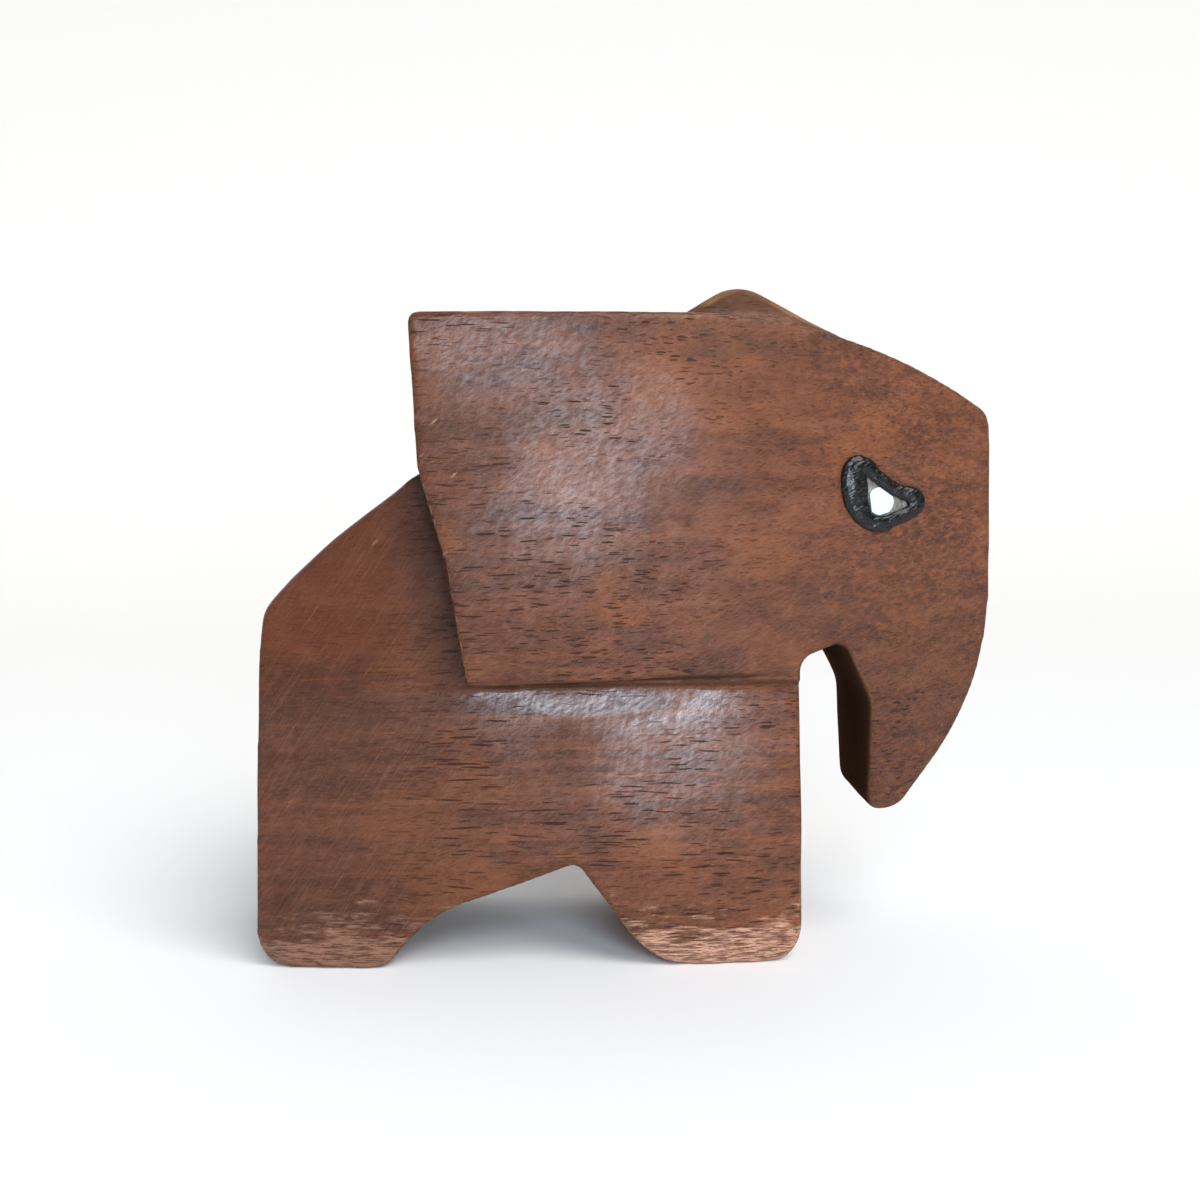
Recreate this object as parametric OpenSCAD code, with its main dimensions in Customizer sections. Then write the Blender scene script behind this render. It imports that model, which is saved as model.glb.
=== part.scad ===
// Carved wooden elephant with inlaid eyes.
// Millimetres. +X runs forward to the trunk, +Y to the elephant's left, +Z up; the soles stand on z = 0.
// The carving is one block of wood, worked from three views: a side outline cut straight through,
// sides cambered in plan and in section, and a channel sunk between the ears.

/* [Overall] */
// Length from the rump to the front of the trunk
overall_length = 100; // [90:0.5:120]
// Height from the soles to the top of the crown
overall_height = 91.1; // [76:0.1:110]

/* [Body] */
// Width across the belly at its fullest
body_width = 41; // [36:0.5:44]
// Distance from the rump to the fullest part of the belly
belly_from_rump = 38; // [30:0.5:46]
// Height of the fullest part of the belly
belly_height = 20; // [12:0.5:28]
// Radius of the body's sides as seen from above
body_plan_radius = 320; // [260:5:500]
// Radius of the body's sides as seen from the front
body_section_radius = 300; // [260:5:500]
// Forward lean of the rump, in degrees from upright
rump_lean = 1.9; // [0:0.1:4]
// Radius of the corner where the back meets the rump
rump_corner_radius = 4; // [2:0.5:5]
// Downhill angle of the back behind the crown, in degrees
back_slope = 30.9; // [26:0.2:33]
// Distance behind the ears' top corner at which the back steepens
haunch_behind_ears = 1; // [1:0.5:4]
// Downhill angle of the back from there on, in degrees
haunch_slope = 36.4; // [33:0.2:40]
// Where the haunch bends down to the rump, as a share of the way forward from the rump to its start
tail_bend_place = 0.305; // [0.2:0.005:0.45]
// Radius of that bend
tail_bend_radius = 38; // [10:1:42]
// Downhill angle from that bend to the rump, in degrees
tail_slope = 48; // [44:0.5:54]

/* [Legs] */
// Length of the rear feet along the ground
rear_foot_length = 17.5; // [14:0.2:21]
// Length of the front feet along the ground
front_foot_length = 20.2; // [17:0.2:25]
// Radius of the outer corners of the feet
foot_corner_radius = 4.5; // [2:0.5:6]
// Radius where the rear feet turn up into the belly arch
rear_foot_turn_radius = 3.5; // [2:0.5:6]
// Radius where the front feet turn up into the belly arch
front_foot_turn_radius = 10; // [4:0.5:12]
// Height of the belly arch at its peak
arch_height = 14.2; // [12:0.2:17.4]
// Height of the bend between the arch's rear side and its roof
arch_bend_height = 7.4; // [6:0.1:9]
// Where that bend sits across the arch, as a share of its width from the rear foot
arch_bend_place = 0.178; // [0.14:0.002:0.24]
// Where the peak sits across the arch, in the same way
arch_peak_place = 0.722; // [0.66:0.002:0.78]
// Radius of the bend between the arch's rear side and its roof
arch_bend_radius = 17; // [8:1:22]
// Radius of the arch's peak
arch_peak_radius = 1.5; // [1:0.1:2.4]

/* [Head] */
// Drop from the top of the crown to the top edge of the ears
crown_rise = 4.6; // [3:0.1:6]
// Distance from the front of the trunk back to the crown's peak
crown_from_front = 34; // [31:0.5:37]
// Radius of the crown's peak
crown_radius = 5.5; // [3:0.5:7]
// Downhill angle of the crown's forehead side, in degrees
forehead_slope = 29; // [27:0.5:32]
// Distance from the front of the trunk back to where that side has run out inside the head
crown_end_from_front = 8; // [6:0.5:10]
// Distance from the front of the trunk back to where the ear top starts to fall to the forehead
forehead_length = 42; // [38:0.5:46]
// Radius of the falling forehead line
forehead_radius = 73; // [66:1:84]
// Radius of the brow corner, where the forehead meets the front of the trunk
brow_radius = 3; // [1.5:0.5:5]
// Distance behind the ears' top corner at which the head's sides would be widest
head_widest_behind_ears = 10; // [6:1:14]
// Radius of the head's sides as seen from above
head_plan_radius = 282; // [260:2:340]
// Radius of the head's sides as seen from the front
head_section_radius = 170; // [150:5:240]
// Height of the fullest part of the head
cheek_height = 62; // [56:0.5:68]

/* [Ears] */
// Width across the two ears
ear_span = 52.4; // [48:0.2:58]
// Distance from the chest back to the ears' top corner
ear_reach = 50.8; // [46:0.2:54]
// Height of the ears' lower rear corner
ear_bottom_height = 38.2; // [34:0.2:41]
// Rise of the ears' lower edge from its rear corner to the chest
ear_bottom_rise = 0.9; // [0:0.1:2]
// How far the ears' lower corner sits forward of their top corner
ear_rake = 6.7; // [4:0.1:9]
// Radius of the ears' top corner
ear_top_radius = 1.4; // [1:0.2:4]
// Radius of the ears' lower corner
ear_low_radius = 1.2; // [0.6:0.2:2]
// Width of the channel between the ears at its rear mouth
channel_rear_width = 31; // [24:0.5:32]
// Width that the channel narrows to at the crown's peak
channel_front_width = 22; // [16:0.5:22]
// Radius of the hollow cut along the underside of each ear
cove_radius = 14; // [9:0.5:18]
// Deepest cut of that hollow into the body's side
cove_depth = 0.9; // [0.5:0.1:2]
// Length over which that hollow deepens and dies out again, forward of the ear's lower corner
cove_length = 44; // [36:1:44]
// Rise of that hollow's centre line above the ear's lower corner
cove_rise = 1.3; // [0.5:0.1:2.5]

/* [Trunk] */
// Distance from the chest to the front of the trunk
trunk_reach = 26.5; // [24:0.5:29]
// Width of the open gap between chest and trunk
trunk_gap = 9.6; // [8:0.2:12]
// Height of the trunk's tip
trunk_tip_height = 18.7; // [15:0.1:24]
// Height at which the trunk's front starts to curve back
trunk_curve_height = 48.4; // [44:0.2:54]
// Radius of the trunk's front curve
trunk_curve_radius = 38.3; // [34:0.1:44]
// Height of the gap's peak
gap_peak_height = 42.9; // [42.3:0.1:45]
// Distance from the chest forward to the gap's peak
gap_peak_from_chest = 5.7; // [4.6:0.1:6.4]
// Radius of the gap's peak
gap_peak_radius = 1.4; // [0.8:0.1:1.8]
// Height at which the gap's rear side turns in under the cheek
gap_rear_height = 40.8; // [40.6:0.1:41.4]
// Radius of that turn
gap_rear_radius = 2; // [1:0.1:2.2]
// Height at which the gap's front side turns in under the cheek
gap_front_height = 34.6; // [31:0.2:36]
// Radius of that turn
gap_front_radius = 5; // [2:0.5:6]
// Width of the trunk's tip
trunk_tip_width = 4.7; // [4:0.1:6.5]
// Radius of the tip's front corner
tip_front_radius = 4.4; // [2:0.2:5]
// Radius of the tip's rear corner
tip_rear_radius = 2.2; // [1:0.2:3]

/* [Eyes] */
// Distance from the front of the trunk back to the eye
eye_from_front = 15.7; // [13:0.1:19]
// Drop from the top edge of the ears to the eye
eye_drop = 24.7; // [20:0.2:28]
// How far the black rim sinks into the wood
rim_seat_depth = 0.4; // [0.3:0.05:0.8]
// How far the black rim stands above the wood
rim_rise = 0.7; // [0.4:0.05:1.2]
// How far the inlay reaches under the rim
inlay_lap = 0.6; // [0.3:0.05:0.9]
// Thickness of the inlay
inlay_thickness = 1.8; // [1.2:0.1:2.6]
// Radius of the eye white
white_radius = 1.87; // [1.4:0.01:2.2]
// Thickness of the eye white
white_thickness = 0.4; // [0.3:0.05:0.8]
// Gap left around the rim, the inlay and the white where each drops in
eye_clearance = 0.06; // [0.03:0.01:0.12]

/* [Hidden] */
$fa = 3;
$fs = 0.3;
// Steps in a full turn of the large shallow side curves
side_steps = 360;
// Margin by which cutting shapes run past the wood
past = 1;
// Degrees between points around a rounded corner, and along a long shallow curve
corner_step = 12;
curve_step = 3;

// Stations along X
rump_x = -overall_length / 2;
front_x = overall_length / 2;
chest_x = front_x - trunk_reach;
trunk_rear_x = chest_x + trunk_gap;
crown_x = front_x - crown_from_front;
crown_end_x = front_x - crown_end_from_front;
forehead_x = front_x - forehead_length;
ear_rear_x = chest_x - ear_reach;
ear_low_x = ear_rear_x + ear_rake;
belly_x = rump_x + belly_from_rump;
head_widest_x = ear_rear_x - head_widest_behind_ears;
eye_x = front_x - eye_from_front;

// Heights
ear_top_height = overall_height - crown_rise;
ear_height = ear_top_height - ear_bottom_height;
eye_height = ear_top_height - eye_drop;

// Sides, cambered in plan and in section
ear_half = ear_span / 2;
body_half = body_width / 2;
function sagitta(distance, radius) = radius - sqrt(pow(radius, 2) - pow(distance, 2));
function body_half_at(x, z) =
  body_half - sagitta(x - belly_x, body_plan_radius) - sagitta(z - belly_height, body_section_radius);
function head_half_at(x, z) =
  ear_half - sagitta(x - head_widest_x, head_plan_radius) - sagitta(z - cheek_height, head_section_radius);

// Where the straight back and the forehead would meet in a sharp ridge above the rounded crown
crown_half_angle = (180 - back_slope - forehead_slope) / 2;
crown_ridge = [crown_x, overall_height + crown_radius * (1 / sin(crown_half_angle) - 1)];
function back_height(x) = crown_ridge.y - (crown_ridge.x - x) * tan(back_slope);
function crown_front_height(x) = crown_ridge.y - (x - crown_ridge.x) * tan(forehead_slope);

// The bends where the back steepens behind the ears and above the rump, and the corner at the rump
haunch = [ear_rear_x - haunch_behind_ears, back_height(ear_rear_x - haunch_behind_ears)];
rump_foot_x = rump_x - foot_corner_radius * (1 / tan(45 - rump_lean / 2) - 1);
haunch_length = haunch.x - rump_foot_x - haunch.y * tan(rump_lean);
tail_bend_x = haunch.x - (1 - tail_bend_place) * haunch_length;
tail_bend = [tail_bend_x, haunch.y - (haunch.x - tail_bend_x) * tan(haunch_slope)];
rump_top_height = (tail_bend.y - (tail_bend.x - rump_foot_x) * tan(tail_slope))
  / (1 - tan(rump_lean) * tan(tail_slope));
rump_top = [rump_foot_x + rump_top_height * tan(rump_lean), rump_top_height];

// The belly arch: where its sides reach the ground, the bend in its rear side, and its peak
arch_rear_x = rump_x + rear_foot_length;
arch_front_x = chest_x - front_foot_length;
arch_width = arch_front_x - arch_rear_x;
arch_bend = [arch_rear_x + arch_bend_place * arch_width, arch_bend_height];
arch_peak = [arch_rear_x + arch_peak_place * arch_width, arch_height];

// The circles of the forehead and the brow corner
forehead_centre = [forehead_x, ear_top_height - forehead_radius];
brow_angle = acos((forehead_length - brow_radius) / (forehead_radius - brow_radius));
brow_centre = forehead_centre + (forehead_radius - brow_radius) * [cos(brow_angle), sin(brow_angle)];

// The trunk's front curve, a little under the circle that would end right at the tip's front corner
// at most, and the angle at which it runs straight on to that corner
tip_front = [trunk_rear_x + trunk_tip_width, trunk_tip_height];
tip_setback = front_x - tip_front.x;
tip_drop = trunk_curve_height - trunk_tip_height;
tip_reach_radius = (pow(tip_setback, 2) + pow(tip_drop, 2)) / (2 * tip_setback);
trunk_front_radius = min(trunk_curve_radius, 0.985 * tip_reach_radius);
trunk_centre = [front_x - trunk_front_radius, trunk_curve_height];
tip_spoke = tip_front - trunk_centre;
tip_angle = atan2(-tip_spoke.y, tip_spoke.x) - acos(trunk_front_radius / norm(tip_spoke));

// Where the ear's rear edge changes its rake, as shares of [rake, height] from the top and lower corners
ear_upper_bend = [0.16, 0.59];
ear_lower_bend = [0.67, 0.33];
function ear_bend(share) = [ear_rear_x + share.x * ear_rake, ear_bottom_height + share.y * ear_height];

// The eye's outlines as rounded lobes [forward, up, radius] about its centre, counterclockwise
rim_lobes = [
  [4.6, -0.2, 1.7],
  [-3.5, 3.6, 2.2],
  [-3.1, 0.7, 2.4],
  [-0.2, -2.3, 1.9]
];
opening_lobes = [
  [3.1, -0.85, 0.3],
  [-1.6, 2.3, 0.3],
  [-1.1, -2.05, 0.3]
];
white_centre = [-0.1, -0.2];
eye_slant = asin((eye_x - head_widest_x) / head_plan_radius);

// ---- Outlines ----

function unit(v) = v / norm(v);
function direction(from, to) = atan2(to.y - from.y, to.x - from.x);
function on_circle(centre, r, angle) = centre + r * [cos(angle), sin(angle)];
function sharp(point) = [point.x, point.y, 0];
function spot(corner) = [corner.x, corner.y];

// A round stretch: points along a circle from a start angle through a sweep
function arc(centre, r, start, sweep, step) =
  let (count = ceil(abs(sweep) / step))
  [for (i = [0 : count]) on_circle(centre, r, start + sweep * i / count)];

// The same as the sharp corners of an outline
function curve(centre, r, start, sweep) =
  [for (point = arc(centre, r, start, sweep, curve_step)) sharp(point)];

// The arc that rounds the corner v between its neighbours p and n, whether it points out or in; it
// takes up no more than the room it has along each side
function rounded_corner(p, v, n, r, room) =
  let (
    half = acos(unit(p - v) * unit(n - v)) / 2,
    fitting = min(r, room * tan(half)),
    centre = v + unit(unit(p - v) + unit(n - v)) * fitting / sin(half),
    turn = sign((v.x - p.x) * (n.y - v.y) - (v.y - p.y) * (n.x - v.x)),
    start = direction(centre, v + unit(p - v) * fitting / tan(half))
  )
  arc(centre, fitting, start, turn * (180 - 2 * half), corner_step);

// The room along a side: nearly half of it where the next corner is rounded too, or else nearly all
function side_room(here, next) = norm(spot(next) - spot(here)) * (next.z == 0 ? 0.98 : 0.49);

// A closed outline through [x, z, radius] corners, counterclockwise; a radius of 0 stays sharp
module rounded(corners) {
  count = len(corners);
  polygon([for (i = [0 : count - 1])
    let (
      before = corners[(i + count - 1) % count],
      here = corners[i],
      after = corners[(i + 1) % count],
      room = min(side_room(here, before), side_room(here, after))
    )
    each here.z == 0 ? [spot(here)] : rounded_corner(spot(before), spot(here), spot(after), here.z, room)
  ]);
}

// The outward direction square to the straight run of a belt from lobe a to lobe b
function belt_normal(a, b) = direction(a, b) - 90 + asin((a.z - b.z) / norm(spot(b) - spot(a)));

// A belt drawn tight around rounded lobes, each grown by the same amount
module belt(lobes, grow = 0) {
  count = len(lobes);
  normals = [for (i = [0 : count - 1]) belt_normal(lobes[i], lobes[(i + 1) % count])];
  polygon([for (i = [0 : count - 1])
    let (start = normals[(i + count - 1) % count], sweep = (normals[i] - start + 720) % 360)
    each arc(spot(lobes[i]), lobes[i].z + grow, start, sweep, corner_step)
  ]);
}

// Side outline of the body, the legs and the crown
module body_outline() {
  rounded([
    [rump_foot_x, 0, foot_corner_radius],
    [arch_rear_x, 0, rear_foot_turn_radius],
    [arch_bend.x, arch_bend.y, arch_bend_radius],
    [arch_peak.x, arch_peak.y, arch_peak_radius],
    [arch_front_x, 0, front_foot_turn_radius],
    [chest_x, 0, foot_corner_radius],
    [chest_x, gap_rear_height, 0],
    [trunk_rear_x, trunk_curve_height, 0],
    [crown_end_x, trunk_curve_height, 0],
    [crown_end_x, crown_front_height(crown_end_x), 0],
    [crown_ridge.x, crown_ridge.y, crown_radius],
    sharp(haunch),
    [tail_bend.x, tail_bend.y, tail_bend_radius],
    [rump_top.x, rump_top.y, rump_corner_radius]
  ]);
}

// Side outline of the ears, the forehead and the trunk
module head_outline() {
  rounded([
    [ear_low_x, ear_bottom_height, ear_low_radius],
    [chest_x, ear_bottom_height + ear_bottom_rise, 0],
    [chest_x, gap_rear_height, gap_rear_radius],
    [chest_x + gap_peak_from_chest, gap_peak_height, gap_peak_radius],
    [trunk_rear_x, gap_front_height, gap_front_radius],
    [trunk_rear_x, trunk_tip_height, tip_rear_radius],
    [tip_front.x, tip_front.y, tip_front_radius],
    each curve(trunk_centre, trunk_front_radius, -tip_angle, tip_angle),
    each curve(brow_centre, brow_radius, 0, brow_angle),
    each curve(forehead_centre, forehead_radius, brow_angle + curve_step, 90 - brow_angle - curve_step),
    [ear_rear_x, ear_top_height, ear_top_radius],
    sharp(ear_bend(ear_upper_bend)),
    sharp(ear_bend(ear_lower_bend))
  ]);
}

// ---- The block ----

// Stands a side outline up and runs it through the whole width
module through_width() {
  rotate([90, 0, 0])
    linear_extrude(height = ear_span + 2 * past, center = true) children();
}

// A curved slab whose outer face is the left side of a cambered block; it reaches past the
// right side, and swings far enough fore and aft to cover the whole length
module side_slab(widest_x, fullest_z, half_width, plan_radius, section_radius) {
  swing = 24;
  thickness = 1.15 * ear_span;
  translate([widest_x, half_width - plan_radius, fullest_z])
    rotate([0, 0, 90 - swing])
      rotate_extrude(angle = 2 * swing, $fn = side_steps)
        intersection() {
          translate([plan_radius - section_radius, 0]) circle(r = section_radius, $fn = side_steps);
          translate([plan_radius - thickness, -overall_height])
            square([thickness + past, 2 * overall_height]);
        }
}

// Keeps what lies between two mirrored side slabs
module cambered(widest_x, fullest_z, half_width, plan_radius, section_radius) {
  intersection() {
    children();
    side_slab(widest_x, fullest_z, half_width, plan_radius, section_radius);
    mirror([0, 1, 0]) side_slab(widest_x, fullest_z, half_width, plan_radius, section_radius);
  }
}

// The long shallow hollow under the right ear, a lemon shape lying along the body's side
module cove() {
  middle_x = ear_low_x + cove_length / 2;
  length_radius = pow(cove_length / 2, 2) / (2 * cove_depth);
  centre_y = body_half_at(middle_x, ear_bottom_height) - cove_depth + cove_radius;
  translate([middle_x, -centre_y, ear_bottom_height + cove_rise])
    rotate([0, 90, 0])
      rotate_extrude()
        intersection() {
          translate([cove_radius - length_radius, 0]) circle(r = length_radius);
          translate([0, -length_radius]) square([length_radius, 2 * length_radius]);
        }
}

// The open channel between the ears, down to the slope of the back
module channel() {
  top = overall_height + past;
  mouth_x = haunch.x;
  intersection() {
    through_width()
      polygon([
        [mouth_x, back_height(mouth_x)],
        [crown_x, back_height(crown_x)],
        [crown_x, top],
        [mouth_x, top]
      ]);
    linear_extrude(height = top)
      polygon([
        [mouth_x, -channel_rear_width / 2],
        [crown_x, -channel_front_width / 2],
        [crown_x, channel_front_width / 2],
        [mouth_x, channel_rear_width / 2]
      ]);
  }
}

module body_block() {
  difference() {
    cambered(belly_x, belly_height, body_half, body_plan_radius, body_section_radius)
      through_width() body_outline();
    cove();
    mirror([0, 1, 0]) cove();
  }
}

module head_block() {
  difference() {
    cambered(head_widest_x, cheek_height, ear_half, head_plan_radius, head_section_radius)
      through_width() head_outline();
    channel();
  }
}

module carving() {
  color([0.45, 0.29, 0.22])
    difference() {
      union() {
        body_block();
        head_block();
      }
      on_right_cheek() eye_cut();
      on_left_cheek() eye_cut();
    }
}

// ---- The eyes ----

// Puts a piece drawn flat, x forward and y up, on the slant of the right cheek with z pointing outward
module on_right_cheek() {
  translate([eye_x, -head_half_at(eye_x, eye_height), eye_height])
    rotate([90, 0, eye_slant]) children();
}

module on_left_cheek() {
  mirror([0, 1, 0]) on_right_cheek() children();
}

// The seat for the rim, and the deeper pocket for the inlay
module eye_cut() {
  translate([0, 0, -rim_seat_depth])
    linear_extrude(height = rim_seat_depth + past) belt(rim_lobes, eye_clearance);
  translate([0, 0, -rim_seat_depth - inlay_thickness])
    linear_extrude(height = inlay_thickness + past) belt(opening_lobes, inlay_lap + eye_clearance);
}

// The black rim lies in its seat and laps over the edge of the inlay
module eye_rim() {
  color([0.05, 0.05, 0.05])
    translate([0, 0, -rim_seat_depth])
      linear_extrude(height = rim_seat_depth + rim_rise)
        difference() {
          belt(rim_lobes);
          belt(opening_lobes);
        }
}

// The grey chip fills its pocket up to the floor of the rim's seat
module eye_inlay() {
  color([0.55, 0.53, 0.5])
    translate([0, 0, -rim_seat_depth - inlay_thickness])
      linear_extrude(height = inlay_thickness) belt(opening_lobes, inlay_lap);
}

// The pale disc lies on the chip, trimmed where the rim's opening is narrower than the disc
module eye_white() {
  color([0.9, 0.97, 0.97])
    translate([0, 0, -rim_seat_depth])
      linear_extrude(height = white_thickness)
        intersection() {
          translate(white_centre) circle(r = white_radius);
          belt(opening_lobes, -eye_clearance);
        }
}

module eye_rim_right() {
  on_right_cheek() eye_rim();
}

module eye_rim_left() {
  on_left_cheek() eye_rim();
}

module eye_inlay_right() {
  on_right_cheek() eye_inlay();
}

module eye_inlay_left() {
  on_left_cheek() eye_inlay();
}

module eye_white_right() {
  on_right_cheek() eye_white();
}

module eye_white_left() {
  on_left_cheek() eye_white();
}

carving();
eye_rim_right();
eye_rim_left();
eye_inlay_right();
eye_inlay_left();
eye_white_right();
eye_white_left();
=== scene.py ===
# %% [markdown]
# # A carved wooden elephant
# This lesson finishes a small elephant that was carved from one block of wood and given two inlaid eyes.
# The construction model gives the true sizes. Here the block gets the softness of a hand-worked thing:
# rounded edges, tool marks, open grain, an oiled sheen and worn feet. The eyes get their glossy black beads.

import math

import bpy
import numpy as np
from mathutils import Matrix, Vector
from mathutils.bvhtree import BVHTree


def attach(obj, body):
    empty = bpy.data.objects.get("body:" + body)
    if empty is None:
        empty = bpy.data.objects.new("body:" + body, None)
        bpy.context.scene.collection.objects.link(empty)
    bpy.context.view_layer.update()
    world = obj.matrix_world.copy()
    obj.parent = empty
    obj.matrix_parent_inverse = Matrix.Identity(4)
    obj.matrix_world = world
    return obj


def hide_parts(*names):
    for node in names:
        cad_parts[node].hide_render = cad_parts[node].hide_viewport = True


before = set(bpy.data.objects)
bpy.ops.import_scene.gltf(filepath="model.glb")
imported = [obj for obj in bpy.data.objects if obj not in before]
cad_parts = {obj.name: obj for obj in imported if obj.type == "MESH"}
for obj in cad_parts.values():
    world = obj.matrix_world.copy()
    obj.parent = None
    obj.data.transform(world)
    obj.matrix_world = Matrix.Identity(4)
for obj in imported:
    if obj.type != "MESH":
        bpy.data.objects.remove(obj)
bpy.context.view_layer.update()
MM = 0.001

# %% [markdown]
# ## Choosing a piece and finishing it
# Blender's operators work on whatever is selected, so nearly every step starts by choosing one object. A
# modifier is added, set and applied in one go. Sizes are written in millimetres, as a carver would measure
# them, and turned into metres on the way in. Only the floor and the lights are placed in metres.


# %% Choose one object, apply one modifier
def choose(piece):
    if bpy.context.mode != "OBJECT":
        bpy.ops.object.mode_set(mode="OBJECT")
    bpy.ops.object.select_all(action="DESELECT")
    piece.select_set(True)
    bpy.context.view_layer.objects.active = piece


def finish_modifier(piece, kind, **settings):
    choose(piece)
    modifier = piece.modifiers.new(kind.lower(), kind)
    for name, value in settings.items():
        setattr(modifier, name, value)
    bpy.ops.object.modifier_apply(modifier=modifier.name)


print("helpers for one piece are ready")

# %% [markdown]
# ## The block, softened
# The construction model has knife-sharp edges. A carver breaks every edge with a rasp and sandpaper, and
# years of handling round them further. Bevelling each edge would give the same even round everywhere. Here
# a copy of the block is rebuilt as an even skin of small squares and then relaxed: a relaxed skin sinks at
# the corners only, as sandpaper cuts, and the flats stay where they are.


# %% Copy the block and give it an even skin
def copy_of(node, name):
    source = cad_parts[node]
    piece = source.copy()
    piece.data = source.data.copy()
    piece.name = name
    piece.data.name = name
    piece.parent = None
    for key in list(piece.keys()):
        del piece[key]
    bpy.context.scene.collection.objects.link(piece)
    choose(piece)
    bpy.ops.object.mode_set(mode="EDIT")
    bpy.ops.mesh.select_all(action="SELECT")
    bpy.ops.mesh.remove_doubles(threshold=0.002 * MM)
    bpy.ops.object.mode_set(mode="OBJECT")
    return piece


block = copy_of("carving", "carved_block")
square = 0.42
finish_modifier(block, "REMESH", mode="VOXEL", voxel_size=square * MM, adaptivity=0, use_smooth_shade=True)
print("the skin has", len(block.data.polygons), "faces")

# %% [markdown]
# ## Painting zones on the skin
# Some steps act on a part of the skin only. A zone is worked out for all points at once, as a share between 0
# and 1 that fades softly at its borders, and is then painted on as a vertex group in twenty shades.


# %% Read, fade and paint the points of a skin
def points_of(piece):
    flat = np.empty(len(piece.data.vertices) * 3)
    piece.data.vertices.foreach_get("co", flat)
    return flat.reshape(-1, 3) / MM


def ramp(value, start, end):
    share = np.clip((value - start) / (end - start), 0, 1)
    return share * share * (3 - 2 * share)


def paint_group(piece, name, weights, shades=20):
    group = piece.vertex_groups.new(name=name)
    for step in range(1, shades + 1):
        members = np.nonzero(np.round(weights * shades) == step)[0]
        if len(members):
            group.add(members.tolist(), step / shades, "REPLACE")
    return group.name


print("helpers for zones are ready")

# %% [markdown]
# ## Breaking the edges
# All edges get a light round. Some places were rubbed rounder by the rasp and by handling: the back behind
# the ears, the crown, the hollow under each ear, the rear and the tip of the trunk and the rims of the soles.
# Those zones are painted on the skin and relaxed many times more.

# %% Round the edges
finish_modifier(block, "SMOOTH", factor=0.5, iterations=5)
x, y, z = points_of(block).T
side = np.abs(y)
back_line_x = 16  # a point on the straight line that the back falls along
back_line_z = 91.9
back_fall = 0.598
back_line = back_line_z - back_fall * (back_line_x - x)
behind_ears = ramp(-x, 28.5, 31) * ramp(z, back_line - 12, back_line - 7) * ramp(z, 40, 50)
crown_top = 0.8 * ramp(x, 2, 9) * ramp(z, 84.5, 87) * ramp(-side, -13.5, -12)
hollow_lip = ramp(z, 27, 31) * ramp(-z, -37.9, -37.2) * ramp(side, 10, 13) * ramp(-np.abs(x + 1.5), -25, -20)
trunk_back = 0.5 * ramp(x, 30, 32) * ramp(-x, -39, -36) * ramp(-z, -43, -38)
trunk_tip = 0.2 * ramp(x, 30, 32) * ramp(-z, -27, -22)
sole_rims = 0.35 * ramp(-z, -6, -2)
zones = np.max([behind_ears, crown_top, hollow_lip, trunk_back, trunk_tip, sole_rims], axis=0)
zone = paint_group(block, "rubbed_round", np.clip(zones, 0, 1))
finish_modifier(block, "SMOOTH", factor=0.5, iterations=70, vertex_group=zone)
print("share of the skin rubbed rounder:", round(float((zones > 0.1).mean()), 2))

# %% [markdown]
# ## Thinning the skin
# Flat places don't need so many faces. Decimating keeps the shape and brings the piece to a size that any
# program opens quickly.

# %% Thin the skin
faces_wanted = 92_000
finish_modifier(block, "DECIMATE", ratio=min(1.0, faces_wanted / len(block.data.polygons)))
block.vertex_groups.clear()

# %% [markdown]
# ## Where the finish wears and where shade is painted
# Every spot of the skin is measured against the sharp block it came from. A spot that sank is a rounded
# edge, where the finish wears thin and pale wood shows. A spot that rose is an inner corner, which the finish
# darkens with painted shade and a little dust. The distance is kept on the mesh, and the wood's finish reads
# it later.

# %% Measure the wear
sharp_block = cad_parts["carving"]
tree_of_faces = BVHTree.FromObject(sharp_block, bpy.context.evaluated_depsgraph_get())
rise = np.zeros(len(block.data.vertices))
for index, vertex in enumerate(block.data.vertices):
    spot, normal, _, _ = tree_of_faces.find_nearest(vertex.co)
    rise[index] = (vertex.co - spot).dot(normal) / MM
wear_and_shade_attribute = block.data.attributes.new("edge_wear_and_corner_shade", "FLOAT", "POINT")
wear_and_shade_attribute.data.foreach_set("value", -rise)
sank, rose = round(float(-rise.min()), 2), round(float(rise.max()), 2)
print("edges sank by up to", sank, "mm, inner corners rose by", rose)

# %% [markdown]
# ## Dishing the flanks
# Below the ears the gouge and the rasp left each flank very slightly dished, so that it leans back a few
# degrees toward the ear and catches the light. The skin there is pressed in by up to a millimetre and a half.

# %% Dish the flanks
x, y, z = points_of(block).T
flank = ramp(z, 12, 37) * ramp(-z, -37.9, -37.4) * ramp(x, -38, -8) * ramp(-x, -24.2, -23.8)
flank = flank * ramp(np.abs(y), 9, 13)
dish_depth = 1.5
dished = np.column_stack((x, y - np.sign(y) * dish_depth * flank, z)) * MM
block.data.vertices.foreach_set("co", dished.ravel())
block.data.update()
print("the flanks are dished by", dish_depth, "mm over", round(float((flank > 0.1).mean()), 2), "of the skin")

# %% [markdown]
# ## The unevenness of hand work
# No hand-rubbed face is truly flat. A slow, shallow waviness, never more than a fifth of a millimetre deep,
# breaks up the reflections the way a sanded block does. The soles stay flat so the figure stands.

# %% Make the faces slightly uneven
x, y, z = points_of(block).T
worked = paint_group(block, "hand_worked", ramp(z, 0.4, 3))
waves = bpy.data.textures.new("slow_waves", "CLOUDS")
waves.noise_scale = 11 * MM
waves.noise_depth = 1
finish_modifier(
    block,
    "DISPLACE",
    texture=waves,
    texture_coords="LOCAL",
    strength=0.2 * MM,
    mid_level=1.0,
    vertex_group=worked,
)
block.vertex_groups.clear()
choose(block)
bpy.ops.object.shade_smooth()
block.data.calc_loop_triangles()
print("the block now has", len(block.data.loop_triangles), "triangles")

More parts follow.
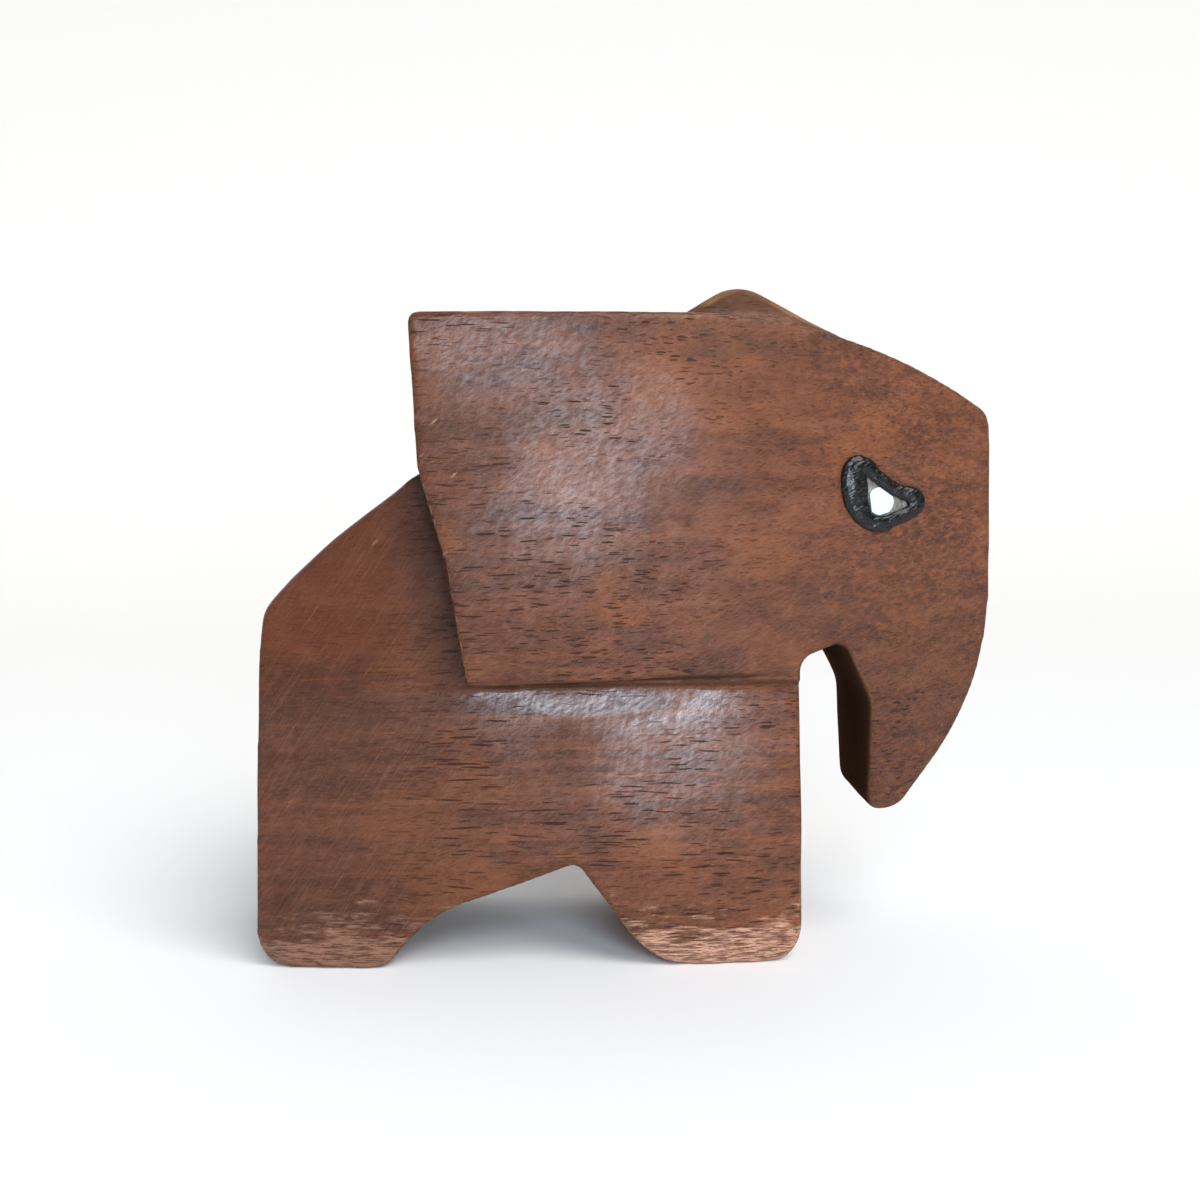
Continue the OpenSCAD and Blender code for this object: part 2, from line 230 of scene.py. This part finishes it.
# %% [markdown]
# ## Finding the eye
# Each eye is set into the slanted cheek. The flat face of the grey chip tells which way the cheek looks
# there, and the rim's own box tells where the eye's centre is. With these, the eye can be drawn flat:
# forward, up, and out from the wood.

# %% Find the eye's place and slant
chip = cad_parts["eye_inlay_right"]
outward_faces = [face for face in chip.data.polygons if face.normal.y < -0.7 and abs(face.normal.z) < 0.1]
out = sum((face.normal * face.area for face in outward_faces), Vector()).normalized()
up = Vector((0, 0, 1))
forward = up.cross(out).normalized()
rim_points = [v.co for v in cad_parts["eye_rim_right"].data.vertices]
along = [[axis.dot(point) / MM for point in rim_points] for axis in (forward, up, out)]
rim_rise = 0.7
bead_shift = (-0.3, -0.8)
centre = (
    forward * ((min(along[0]) + max(along[0])) / 2 + bead_shift[0])
    + up * ((min(along[1]) + max(along[1])) / 2 + bead_shift[1])
    + out * (max(along[2]) - rim_rise)
)
eye_place = Matrix.Translation(centre * MM) @ Matrix((forward, up, out)).transposed().to_4x4()
print("the eye is centred at", [round(c, 1) for c in centre], "mm")

# %% [markdown]
# ## The black rim
# The rim is filler pressed on by hand, a bead that is fat at the rear, thin under the eye and drawn out
# toward the trunk. It's laid as a curve with its own thickness at each point, flattened, and then merged
# into one lumpy skin.

# %% Lay the bead around the eye
bead_path = [
    (-3.8, 1.6, 1.95),
    (-3.45, -0.5, 1.75),
    (-1.9, -2.75, 1.15),
    (0.2, -3.15, 1.05),
    (2.2, -2.4, 0.9),
    (4.2, -1.6, 0.95),
    (5.15, -0.35, 1.2),
    (4.4, 0.55, 1.15),
    (2.9, 0.95, 0.9),
    (1.4, 1.75, 0.85),
    (-0.7, 3.2, 0.9),
    (-2.6, 4.5, 1.25),
    (-3.75, 4.1, 1.65),
]
bead_flattening = 0.4
bpy.ops.object.select_all(action="DESELECT")
bpy.ops.curve.primitive_bezier_circle_add(radius=4 * MM, location=(0, 0, 0))
bead = bpy.context.object
bead.data.bevel_depth = 1 * MM
bead.data.bevel_resolution = 5
bead.data.resolution_u = 6
spline = bead.data.splines[0]
spline.bezier_points.add(len(bead_path) - len(spline.bezier_points))
for knot, (ahead, above, thickness) in zip(spline.bezier_points, bead_path):
    knot.co = Vector((ahead, above, 0)) * MM
    knot.radius = thickness
    knot.handle_left_type = "AUTO"
    knot.handle_right_type = "AUTO"
choose(bead)
bpy.ops.object.convert(target="MESH")
bead = bpy.context.object
bead.scale = (1, 1, bead_flattening)
bpy.ops.object.transform_apply(location=False, rotation=False, scale=True)
finish_modifier(bead, "REMESH", mode="VOXEL", voxel_size=0.13 * MM, adaptivity=0, use_smooth_shade=True)
finish_modifier(bead, "SMOOTH", factor=0.5, iterations=4)
lumps = bpy.data.textures.new("lumps", "CLOUDS")
lumps.noise_scale = 1.1 * MM
lumps.noise_depth = 2
finish_modifier(bead, "DISPLACE", texture=lumps, texture_coords="LOCAL", strength=0.22 * MM, mid_level=0.5)
print("the bead has", len(bead.data.polygons), "faces")


# %% [markdown]
# ## The chip and the eye white
# The chip is cut from a grey stone-like material and the white is a dab of enamel. Both are copied from the
# construction model and get a tiny bevel, because no cut edge catches the light without one.


# %% Copy the chip and the white
def bevelled(piece, width):
    choose(piece)
    bpy.ops.object.mode_set(mode="EDIT")
    bpy.ops.mesh.select_all(action="SELECT")
    bpy.ops.mesh.dissolve_limited(angle_limit=math.radians(1))
    bpy.ops.object.mode_set(mode="OBJECT")
    finish_modifier(
        piece, "BEVEL", width=width * MM, segments=3, limit_method="ANGLE", angle_limit=math.radians(50)
    )
    bpy.ops.object.shade_smooth_by_angle(angle=math.radians(40))
    return piece


chip_right = bevelled(copy_of("eye_inlay_right", "chip_right"), 0.08)
white_right = bevelled(copy_of("eye_white_right", "white_right"), 0.1)
bead.name = "bead_right"
bead.data.name = "bead_right"
bead.data.transform(eye_place)
bead.matrix_world = Matrix.Identity(4)
print("the chip has", len(chip_right.data.polygons), "faces, the white", len(white_right.data.polygons))


# %% [markdown]
# ## The other eye
# The left eye is the mirror image of the right one. A mirrored mesh is inside out until its faces are
# turned outward again.


# %% Mirror the eye
def mirrored(piece, name):
    other = piece.copy()
    other.data = piece.data.copy()
    other.name = name
    other.data.name = name
    bpy.context.scene.collection.objects.link(other)
    other.data.transform(Matrix.Diagonal((1, -1, 1, 1)))
    choose(other)
    bpy.ops.object.mode_set(mode="EDIT")
    bpy.ops.mesh.select_all(action="SELECT")
    bpy.ops.mesh.normals_make_consistent(inside=False)
    bpy.ops.object.mode_set(mode="OBJECT")
    return other


bead_left = mirrored(bead, "bead_left")
chip_left = mirrored(chip_right, "chip_left")
white_left = mirrored(white_right, "white_left")
print("mirrored", bead_left.name, chip_left.name, white_left.name)


# %% [markdown]
# ## Mixing finishes
# A finish is a small network of noise patterns. These helpers add a node or a short row of them, so that the
# recipes that follow read like a list of what the eye sees. A recipe measures places in millimetres, and a
# noise pattern is given the number of its waves in a millimetre along x, y and z.


# %% Helpers for finishes
class Recipe:
    def __init__(self, name):
        self.material = bpy.data.materials.new(name)
        self.material.use_nodes = True
        self.tree = self.material.node_tree
        self.shader = self.tree.nodes["Principled BSDF"]
        place = self.add("ShaderNodeTexCoord").outputs["Object"]
        self.mm = self.scaled(place, (1000, 1000, 1000))
        apart = self.add("ShaderNodeSeparateXYZ", {"Vector": self.mm})
        self.x, self.y, self.z = apart.outputs

    def put(self, socket, value):
        if isinstance(value, bpy.types.NodeSocket):
            self.tree.links.new(value, socket)
        else:
            socket.default_value = value

    def add(self, kind, inputs=None, **settings):
        node = self.tree.nodes.new(kind)
        for name, value in settings.items():
            setattr(node, name, value)
        for name, value in (inputs or {}).items():
            self.put(node.inputs[name], value)
        return node

    def scaled(self, vector, scale, turn=(0, 0, 0)):
        node = self.add("ShaderNodeMapping", {"Vector": vector, "Scale": scale, "Rotation": turn})
        return node.outputs["Vector"]

    def noise(self, scale, detail=3, roughness=0.5, turn=(0, 0, 0), distortion=0.0):
        place = self.scaled(self.mm, (1, 1, 1), turn) if any(turn) else self.mm
        inputs = {"Vector": self.scaled(place, scale), "Scale": 1, "Detail": detail, "Roughness": roughness}
        return self.add("ShaderNodeTexNoise", {**inputs, "Distortion": distortion}).outputs["Fac"]

    def centres(self, vector):
        inputs = {"Vector": vector, "Scale": 1}
        return self.add("ShaderNodeTexVoronoi", inputs, feature="F1").outputs["Distance"]

    def maths(self, operation, first, second=0.0):
        return self.add("ShaderNodeMath", {0: first, 1: second}, operation=operation).outputs[0]

    def steps(self, value, start, end, low=0.0, high=1.0):
        inputs = {"Value": value, "From Min": start, "From Max": end, "To Min": low, "To Max": high}
        return self.add("ShaderNodeMapRange", inputs, interpolation_type="SMOOTHSTEP").outputs[0]

    def chained(self, operation, values):
        result = values[0]
        for value in values[1:]:
            result = self.maths(operation, result, value)
        return result

    def product(self, *values):
        return self.chained("MULTIPLY", values)

    def total(self, *values):
        return self.chained("ADD", values)

    def most(self, *values):
        return self.chained("MAXIMUM", values)

    def mixed(self, share, first, second):
        node = self.add("ShaderNodeMix", data_type="RGBA")
        self.put(node.inputs[0], share)
        self.put(node.inputs[6], first)
        self.put(node.inputs[7], second)
        return node.outputs[2]

    def raise_by(self, height):
        bump = self.add("ShaderNodeBump", {"Height": height, "Strength": 1.0, "Distance": MM})
        self.put(self.shader.inputs["Normal"], bump.outputs["Normal"])


print("finish helpers ready")

# %% [markdown]
# ## The grain of the wood
# The grain runs the length of the animal. Slow streaks of darker and lighter growth come first, then the fine
# fibre, then blotches, smudges of soaked-in oil, and fine wrinkles under the oil. All are noise drawn through
# the whole block, so every face cuts the pattern as it would cut real wood.

# %% Grain, fibre and wrinkles
wood = Recipe("oiled_wood")
growth = wood.noise((0.014, 0.26, 0.36), detail=5, roughness=0.55, distortion=0.3)
streaks = wood.noise((0.035, 0.9, 1.1), detail=4, roughness=0.6)
fibre = wood.noise((0.3, 4, 4.6), detail=4, roughness=0.65)
blotches = wood.noise((0.06, 0.08, 0.09), detail=3)
mottle = wood.noise((0.26, 0.36, 0.4), detail=6, roughness=0.7)
smudges = wood.noise((0.09, 0.13, 0.12), detail=5, roughness=0.62)
wrinkles = wood.noise((0.75, 2.1, 2.5), detail=4, roughness=0.68, turn=(0, math.radians(30), 0))
print("grain drawn with", len(wood.tree.nodes), "nodes")

# %% [markdown]
# ## Open pores
# The pores are short dark slits on the sides, and small dots where the cut crosses the grain. Each is the
# middle of a long, thin cell, with its border frayed by a fine noise. Three sizes are laid over each other.
# There are fewer of them at the rump and on the cheek.


# %% Pores
def pore_layer(cell, reach):
    cells = wood.scaled(warped, tuple(1 / side for side in cell))
    ragged = wood.total(wood.centres(cells), wood.product(pore_edges, 0.16), -0.08)
    return wood.steps(ragged, reach * 0.6, reach, 1, 0)


warp = wood.noise((0.12, 0.2, 0.2), detail=1)
warped_z = wood.total(wood.z, wood.product(warp, 1.1))
warped = wood.add("ShaderNodeCombineXYZ", {"X": wood.x, "Y": wood.y, "Z": warped_z}).outputs[0]
pore_edges = wood.noise((0.5, 2.6, 2.8), detail=3, roughness=0.7)
pore_patches = wood.steps(wood.noise((0.05, 0.1, 0.08), detail=3), 0.38, 0.52, 0.15, 1)
pore_field = wood.product(pore_patches, wood.steps(wood.x, -34, -20, 0.25, 1))
away_from_trunk = wood.most(wood.steps(wood.x, 2, 24, 1, 0.25), wood.steps(wood.z, 40, 34))
large_pores = wood.product(pore_layer((11, 0.6, 0.56), 0.23), pore_field, away_from_trunk)
middle_pores = wood.product(pore_layer((7, 0.5, 0.46), 0.22), pore_field, away_from_trunk, 0.8)
small_pores = wood.product(pore_layer((4, 0.4, 0.36), 0.2), wood.steps(pore_field, -0.6, 1))
pores = wood.most(large_pores, middle_pores, wood.product(small_pores, 0.5))
print("pores drawn, the wood has", len(wood.tree.nodes), "nodes")

# %% [markdown]
# ## Marks of the tools
# The rasp left slanting scratches on the rump and at the rear of the ears, and the gouge left short upright
# strokes in the hollow under each ear. Short pale nicks lie on the high rear and around the soles. Toward
# the trunk the surface cuts across the grain and turns finely speckled.

# %% Tool marks
ear_rear_zone = wood.product(wood.steps(wood.x, -12, -24), wood.steps(wood.z, 38, 50))
rasp_zone = wood.most(wood.steps(wood.x, -17, -27), ear_rear_zone)
rasp = wood.noise((0.09, 1, 4.2), detail=3, roughness=0.6, turn=(0, math.radians(56), 0))
rasp_marks = wood.product(wood.steps(rasp, 0.52, 0.66), rasp_zone)
strokes_zone = wood.product(
    wood.steps(wood.z, 29, 35),
    wood.steps(wood.z, 39, 37.5),
    wood.steps(wood.x, -24, -19),
    wood.steps(wood.x, 18, 12),
)
strokes = wood.noise((1.5, 0.4, 0.16), detail=3, roughness=0.6, turn=(0, math.radians(-14), 0))
nick_place = wood.scaled(wood.mm, (1, 1, 1), (0, math.radians(38), 0))
nick_centres = wood.centres(wood.scaled(nick_place, (1 / 8, 1 / 2, 1 / 2)))
high_rear = wood.product(wood.steps(wood.x, -15, -22), wood.steps(wood.z, 52, 60))
nick_zone = wood.most(high_rear, wood.steps(wood.z, 9, 4))
nicks = wood.product(wood.steps(nick_centres, 0.12, 0.05), nick_zone)
speckle_zone = wood.steps(wood.x, 14, 36)
speckle = wood.noise((0.9, 1.6, 1.6), detail=4, roughness=0.7)
print("tool marks drawn, the wood has", len(wood.tree.nodes), "nodes")

# %% [markdown]
# ## Wear, dull faces, and painted light and shade
# The feet have lost their finish: raw wood shows through in streaks that follow the fibre. Edges are rubbed
# to a tan line that is partly a painted highlight, and inner corners are darkened with painted shade and a
# little dust. The rear of the trunk, the chest and the roof of the arch were hard to reach and stayed dull,
# and their colour is painted lighter, as painted light in their shade. The crown is rubbed a little dull too,
# and the body just behind each ear's rear edge gets a painted shadow.

# %% Wear, dull faces, and painted light and shade
foot_patches = wood.noise((0.16, 0.3, 0.75), detail=5, roughness=0.68)
foot_reach = wood.steps(wood.total(wood.z, wood.product(foot_patches, -30)), -7.5, -12.5)
foot_wear = wood.product(
    foot_reach, wood.steps(fibre, 0.4, 0.54, 0.12, 1), wood.steps(wood.x, -22, -4, 0.36, 1)
)
facing = wood.add("ShaderNodeSeparateXYZ", {"Vector": wood.add("ShaderNodeNewGeometry").outputs["Normal"]})
facing_x = facing.outputs["X"]
facing_z = facing.outputs["Z"]
end_grain = wood.steps(wood.maths("ABSOLUTE", facing_x), 0.45, 0.85)
# Faces facing back and down stay dull, and their colour is painted lighter, as painted light in their shade.
trunk_rear = wood.product(wood.steps(facing_x, -0.3, -0.8), wood.steps(wood.x, 26, 30))
chest = wood.product(
    wood.steps(facing_x, 0.5, 0.85), wood.steps(wood.x, 24.5, 23.8), wood.steps(wood.z, 12, 30), 0.6
)
arch_roof = wood.steps(facing_z, -0.3, -0.7, 0, 0.8)
crown = wood.steps(wood.z, 86.6, 88)
dull_and_painted_light = wood.most(trunk_rear, chest, arch_roof, wood.product(crown, 0.5))
edge = wood.add("ShaderNodeAttribute", attribute_name="edge_wear_and_corner_shade").outputs["Fac"]
edge_patches = wood.noise((0.12, 0.12, 0.12), detail=3)
rubbed_back = wood.steps(wood.x, -24, -30)
# The tan line along rounded edges is rubbed wear and also a painted highlight.
edge_wear_and_highlight = wood.product(
    wood.steps(wood.total(edge, wood.product(rubbed_back, -0.34)), 0.08, 0.24),
    wood.steps(edge_patches, 0.34, 0.56),
    wood.steps(wood.x, 26, 31, 1, 0.35),
)
# Inner corners, where the skin rose, are darkened: painted shade, with a little dust.
corner_shade_and_dirt = wood.steps(edge, -0.04, -0.3)
# The body just behind the rear edge of each ear gets a painted shadow, a dark band a few millimetres wide.
from_ear = wood.total(wood.x, wood.product(wood.z, 0.2), 12.96)
painted_shadow_beside_ear = wood.product(
    wood.steps(from_ear, -7, -0.5), wood.steps(from_ear, 0.4, -0.2), wood.steps(wood.z, 35, 41)
)
print("wear drawn, the wood has", len(wood.tree.nodes), "nodes")

# %% [markdown]
# ## The colour
# Reddish brown in the middle, orange in the lighter streaks and nearly chocolate in the darkest. The colour
# is built in layers, as a stain soaks in and wears off: each row below says how much of which tint is laid
# over all the rows before it. A few rows paint light and shade instead: a painted shadow behind each ear,
# painted light on faces in shade, a painted highlight along the edges and painted shade in the inner corners.

# %% Colour of the wood
dark_wood = (0.034, 0.0095, 0.0038, 1)
middle_wood = (0.112, 0.0315, 0.012, 1)
light_wood = (0.19, 0.065, 0.03, 1)
orange_wood = (0.26, 0.08, 0.021, 1)
ear_orange = (0.12, 0.03, 0.009, 1)
raw_wood = (0.6, 0.33, 0.225, 1)
# The tan edge tint is partly a painted highlight, the corner tint is painted shade, and the dull tint is
# painted light for faces in shade.
tan_wear_and_highlight = (0.33, 0.165, 0.065, 1)
oil_smudge = (0.042, 0.017, 0.012, 1)
pore_dirt = (0.022, 0.01, 0.008, 1)
corner_shade_dust_tint = (0.02, 0.01, 0.007, 1)
painted_light_dull_wood = (0.11, 0.062, 0.04, 1)
flank_share = wood.steps(wood.z, 46, 36, 0.45, 1)
trunk_stain = wood.product(wood.steps(wood.x, 24, 30), wood.steps(wood.z, 60, 34))
stain = wood.most(wood.steps(wood.x, -8, -36), trunk_stain)
ear_rear_edge = wood.product(wood.steps(wood.x, -25, -34), wood.steps(wood.z, 40, 44))
layers = [
    (wood.product(wood.steps(growth, 0.5, 0.72), 0.6), light_wood),
    (wood.product(wood.steps(mottle, 0.5, 0.68), 0.6), light_wood),
    (wood.product(wood.steps(mottle, 0.48, 0.32), 0.5), dark_wood),
    (wood.product(wood.steps(streaks, 0.52, 0.72), flank_share, 0.5), orange_wood),
    (wood.product(wood.steps(streaks, 0.44, 0.28), flank_share, 0.4), dark_wood),
    (wood.product(wood.steps(smudges, 0.5, 0.34), 0.4), oil_smudge),
    (wood.product(wood.steps(blotches, 0.52, 0.7), 0.4), orange_wood),
    (wood.product(wood.steps(fibre, 0.42, 0.62), 0.18), light_wood),
    (wood.product(wood.steps(wrinkles, 0.52, 0.66), 0.22), light_wood),
    (wood.product(wood.steps(fibre, 0.46, 0.34), 0.16), dark_wood),
    (wood.product(wood.steps(wrinkles, 0.46, 0.34), 0.22), dark_wood),
    (wood.product(wood.steps(speckle, 0.47, 0.66), speckle_zone, 0.45), orange_wood),
    (wood.product(wood.steps(speckle, 0.48, 0.32), speckle_zone, 0.5), dark_wood),
    (wood.product(stain, 0.38), dark_wood),
    (wood.product(ear_rear_edge, 0.5), ear_orange),
    (wood.product(rasp_marks, 0.34), light_wood),
    # painted shadow on the body behind each ear's rear edge
    (wood.product(painted_shadow_beside_ear, 0.6), dark_wood),
    (wood.product(pores, 0.8), pore_dirt),
    (wood.product(end_grain, 0.45), dark_wood),
    (wood.product(crown, 0.3), dark_wood),
    # painted light: faces in shade made lighter and greyer
    (wood.product(dull_and_painted_light, 0.75), painted_light_dull_wood),
    # rubbed tan line on the rounded edges, partly a painted highlight
    (wood.product(edge_wear_and_highlight, 0.6), tan_wear_and_highlight),
    (wood.product(nicks, 0.3), raw_wood),
    (wood.product(foot_wear, 0.85), raw_wood),
    # painted shade in the inner corners, with a little dust
    (wood.product(corner_shade_and_dirt, 0.75), corner_shade_dust_tint),
]
colour = wood.mixed(wood.steps(growth, 0.36, 0.56, 0.55, 1), dark_wood, middle_wood)
for share, tint in layers:
    colour = wood.mixed(share, colour, tint)
wood.put(wood.shader.inputs["Base Color"], colour)
print("the colour has", len(layers), "layers over the growth rings")

# %% [markdown]
# ## The sheen of oil
# The oil has soaked in and been polished by hands, so the wood shines softly, less in the pores and scratches
# and hardly at all on the raw feet. A thin coat lies over it, broken up by the wrinkles, thickest in the
# hollows under the ears and worn thin at the trunk and at the rear edges of the ears.

# %% Gloss and coat of the wood
slow_gloss = wood.noise((0.07, 0.07, 0.07), detail=4)
gloss = wood.total(
    wood.steps(slow_gloss, 0.3, 0.7, 0.28, 0.38),
    wood.product(pores, 0.3),
    wood.product(foot_wear, 0.3),
    wood.product(rasp_marks, 0.1),
    wood.product(dull_and_painted_light, 0.4),
    wood.product(strokes_zone, -0.04),
)
wood.put(wood.shader.inputs["Roughness"], gloss)
polished_shine = 0.2
wood.put(wood.shader.inputs["Specular IOR Level"], polished_shine)
wood.put(wood.shader.inputs["Specular IOR Level"], wood.steps(dull_and_painted_light, 0, 1, polished_shine, 0))
bare = wood.total(dull_and_painted_light, foot_wear, pores)
broken_sheen = wood.product(
    wood.steps(wrinkles, 0.36, 0.64, 0.45, 1.35), wood.steps(strokes, 0.4, 0.6, 0.75, 1.15)
)
thin_at_trunk = wood.steps(wood.x, 8, 26, 1, 0.4)
thin_at_ear_rear = wood.most(wood.steps(wood.x, -36, -26, 0.35, 1), wood.steps(wood.z, 40, 36))
coat = wood.product(
    wood.steps(bare, 0, 0.7, 1, 0),
    wood.steps(strokes_zone, 0, 1, 0.32, 0.76),
    broken_sheen,
    thin_at_trunk,
    thin_at_ear_rear,
)
wood.put(wood.shader.inputs["Coat Weight"], coat)
wood.put(wood.shader.inputs["Coat Roughness"], 0.22)
print("gloss and coat set, the wood has", len(wood.tree.nodes), "nodes")

# %% [markdown]
# ## The relief of the surface
# The same patterns also raise and sink the surface by fractions of a millimetre, so light catches on the
# wrinkles and falls into the pores. These heights are shaded only. They don't move the skin.

# %% Relief of the wood
ripples = wood.noise((0.16, 0.5, 0.42), detail=3, roughness=0.6)
relief = wood.total(
    wood.product(ripples, 0.3),
    wood.product(mottle, 0.12),
    wood.product(wrinkles, 0.32),
    wood.product(fibre, 0.03),
    wood.product(pores, -0.2),
    wood.product(rasp_marks, 0.03),
    wood.product(strokes, strokes_zone, 0.55),
    wood.product(nicks, -0.1),
    wood.product(speckle, speckle_zone, 0.07),
    wood.product(foot_wear, fibre, 0.15),
)
wood.raise_by(relief)
print("the wood's finish has", len(wood.tree.nodes), "nodes")

# %% [markdown]
# ## The eye's finishes
# The filler is painted with a thick black lacquer that shows the ridges of the tool under a wet gloss. The
# chip is a grey stone with a brown cast. The white is enamel, pale and faintly blue, like a bead of glass.

# %% Lacquer
lacquer = Recipe("black_lacquer")
lacquer_tone = lacquer.steps(lacquer.noise((0.9, 0.9, 0.9), detail=4), 0.5, 0.8)
lacquer_black = lacquer.mixed(lacquer_tone, (0.003, 0.003, 0.003, 1), (0.012, 0.011, 0.011, 1))
lacquer_gloss = lacquer.steps(lacquer.noise((1.5, 1.5, 1.5)), 0.3, 0.7, 0.14, 0.3)
lacquer_ridges = lacquer.noise((0.4, 0.4, 1.6), detail=2, turn=(0, 0.5, 0))
lacquer_grit = lacquer.noise((2.5, 2.5, 2.5))
lacquer.put(lacquer.shader.inputs["Base Color"], lacquer_black)
lacquer.put(lacquer.shader.inputs["Specular IOR Level"], 0.35)
lacquer.put(lacquer.shader.inputs["Roughness"], lacquer_gloss)
lacquer.raise_by(lacquer.total(lacquer.product(lacquer_ridges, 0.22), lacquer.product(lacquer_grit, 0.02)))
print("the lacquer has", len(lacquer.tree.nodes), "nodes")

# %% Stone
stone = Recipe("grey_chip")
stone_veins = stone.steps(stone.noise((1.2, 1.2, 0.7), detail=4), 0.35, 0.68)
stone_grey = stone.mixed(stone_veins, (0.13, 0.1, 0.08, 1), (0.28, 0.26, 0.245, 1))
stone.put(stone.shader.inputs["Base Color"], stone_grey)
stone.put(stone.shader.inputs["Roughness"], stone.steps(stone.noise((3, 3, 3)), 0.3, 0.7, 0.28, 0.5))
stone.raise_by(stone.product(stone.noise((2, 2, 2), detail=4), 0.05))
print("the stone has", len(stone.tree.nodes), "nodes")

# %% Enamel
enamel = Recipe("pale_enamel")
enamel_tone = enamel.steps(enamel.noise((0.7, 0.7, 0.7), detail=3), 0.3, 0.7)
enamel_white = enamel.mixed(enamel_tone, (0.56, 0.68, 0.69, 1), (0.62, 0.72, 0.72, 1))
enamel.put(enamel.shader.inputs["Base Color"], enamel_white)
enamel.put(enamel.shader.inputs["Roughness"], enamel.steps(enamel.noise((2, 2, 2)), 0.3, 0.7, 0.1, 0.2))
enamel.raise_by(enamel.product(enamel.noise((0.8, 0.8, 0.8)), 0.06))
print("the enamel has", len(enamel.tree.nodes), "nodes")

# %% [markdown]
# ## Putting it together
# Every piece says which body carries it and which finish it wears, and the piece of the construction model it
# stands for is hidden. Nothing on this figure moves, so all of them ride on the same body.

# %% Dress the pieces and hang them on one body
pieces = [
    (block, wood, "oiled_wood", "carving"),
    (bead, lacquer, "black_lacquer", "eye_rim_right"),
    (bead_left, lacquer, "black_lacquer", "eye_rim_left"),
    (chip_right, stone, "grey_chip", "eye_inlay_right"),
    (chip_left, stone, "grey_chip", "eye_inlay_left"),
    (white_right, enamel, "pale_enamel", "eye_white_right"),
    (white_left, enamel, "pale_enamel", "eye_white_left"),
]
for piece, recipe, slot, node in pieces:
    piece.data.materials.clear()
    piece.data.materials.append(recipe.material)
    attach(piece, "root")
    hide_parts(node)
print(len(pieces), "pieces ride on the figure")

# %% [markdown]
# ## The stage
# A pale floor sweeps up into a backdrop, so no horizon line shows when the figure is seen from its right side.
# The floor is far larger than the figure, and the bend between floor and backdrop is rounded wide.

# %% Floor and backdrop
floor_width = 14
floor_depth = 12
floor_centre_y = -4.5
backdrop_height = 5
sweep_width = 0.9
bpy.ops.object.select_all(action="DESELECT")
bpy.ops.mesh.primitive_plane_add(size=1, location=(0, floor_centre_y, 0))
floor = bpy.context.object
floor.name = "floor"
floor.scale = (floor_width, floor_depth, 1)
bpy.ops.object.transform_apply(location=True, rotation=True, scale=True)
bpy.ops.object.mode_set(mode="EDIT")
bpy.ops.mesh.select_all(action="DESELECT")
bpy.ops.object.mode_set(mode="OBJECT")
for line in floor.data.edges:
    line.select = all(floor.data.vertices[v].co.y > floor_centre_y for v in line.vertices)
bpy.ops.object.mode_set(mode="EDIT")
bpy.ops.mesh.extrude_region_move(TRANSFORM_OT_translate={"value": (0, 0, backdrop_height)})
bpy.ops.object.mode_set(mode="OBJECT")
finish_modifier(floor, "BEVEL", width=sweep_width, segments=16, limit_method="ANGLE")
bpy.ops.object.shade_smooth()
paper = Recipe("pale_paper")
paper.put(paper.shader.inputs["Base Color"], (0.92, 0.92, 0.92, 1))
paper.put(paper.shader.inputs["Roughness"], paper.steps(paper.noise((0.01, 0.01, 0.01)), 0.3, 0.7, 0.86, 0.92))
floor.data.materials.append(paper.material)
print("the floor has", len(floor.data.polygons), "faces")

# %% [markdown]
# ## Camera
# The figure is seen from its right side, a little from above, from about twenty centimetres away. So near,
# the far edge of the trunk shows beside the near one.

# %% Camera
camera_place = Vector((-3.18, -208.6, 60.7))
looking_down = math.radians(3.5)
tilted = math.radians(-0.75)
camera_data = bpy.data.cameras.new("camera")
camera = bpy.data.objects.new("camera", camera_data)
bpy.context.scene.collection.objects.link(camera)
camera_data.lens = 43.3
camera_data.sensor_width = 36
camera_data.clip_start = 0.01
turn = Matrix.Rotation(math.radians(90) - looking_down, 4, "X") @ Matrix.Rotation(tilted, 4, "Z")
camera.matrix_world = Matrix.Translation(camera_place * MM) @ turn
bpy.context.scene.camera = camera
bpy.context.scene.view_settings.view_transform = "Standard"
print("camera at", [round(c, 3) for c in camera.location])


# %% [markdown]
# ## Light
# Three cool windows behind the camera give the oiled sides their pale sheen. The middle one shines on the
# middle of the head, the high one nearer its top, and the low one on the flank. A wide soft skylight from
# above and from the trunk's side models the crown, the ears and the back, and the room fills the shadows.


# %% Lights
def aim(lamp, direction):
    lamp.rotation_euler = direction.to_track_quat("-Z", "Y").to_euler()


def add_light(name, kind, power, tint):
    data = bpy.data.lights.new(name, kind)
    data.energy = power
    data.color = tint
    lamp = bpy.data.objects.new(name, data)
    bpy.context.scene.collection.objects.link(lamp)
    return lamp


def add_window(name, place, target, size, power):
    lamp = add_light(name, "AREA", power, (0.72, 0.85, 1.0))
    lamp.data.shape = "DISK"
    lamp.data.size = size
    lamp.location = place
    aim(lamp, Vector(target) - Vector(place))


add_window("window", (0.16, -0.64, 0.16), (0, 0, 0.06), 0.2, 1.35)
add_window("high_window", (0.03, -0.62, 0.32), (0, 0, 0.07), 0.2, 1.5)
add_window("low_window", (0.085, -0.55, 0.055), (0, 0, 0.03), 0.1, 0.55)
skylight = add_light("skylight", "SUN", 2.2, (1.0, 0.985, 0.96))
skylight.data.angle = math.radians(40)
aim(skylight, Vector((-0.42, 0.57, -0.71)))
room = bpy.data.worlds.new("room")
bpy.context.scene.world = room
room.use_nodes = True
room_light = room.node_tree.nodes["Background"]
room_light.inputs["Color"].default_value = (1, 1, 1, 1)
room_light.inputs["Strength"].default_value = 0.27
print("lights:", [light.name for light in bpy.data.lights])
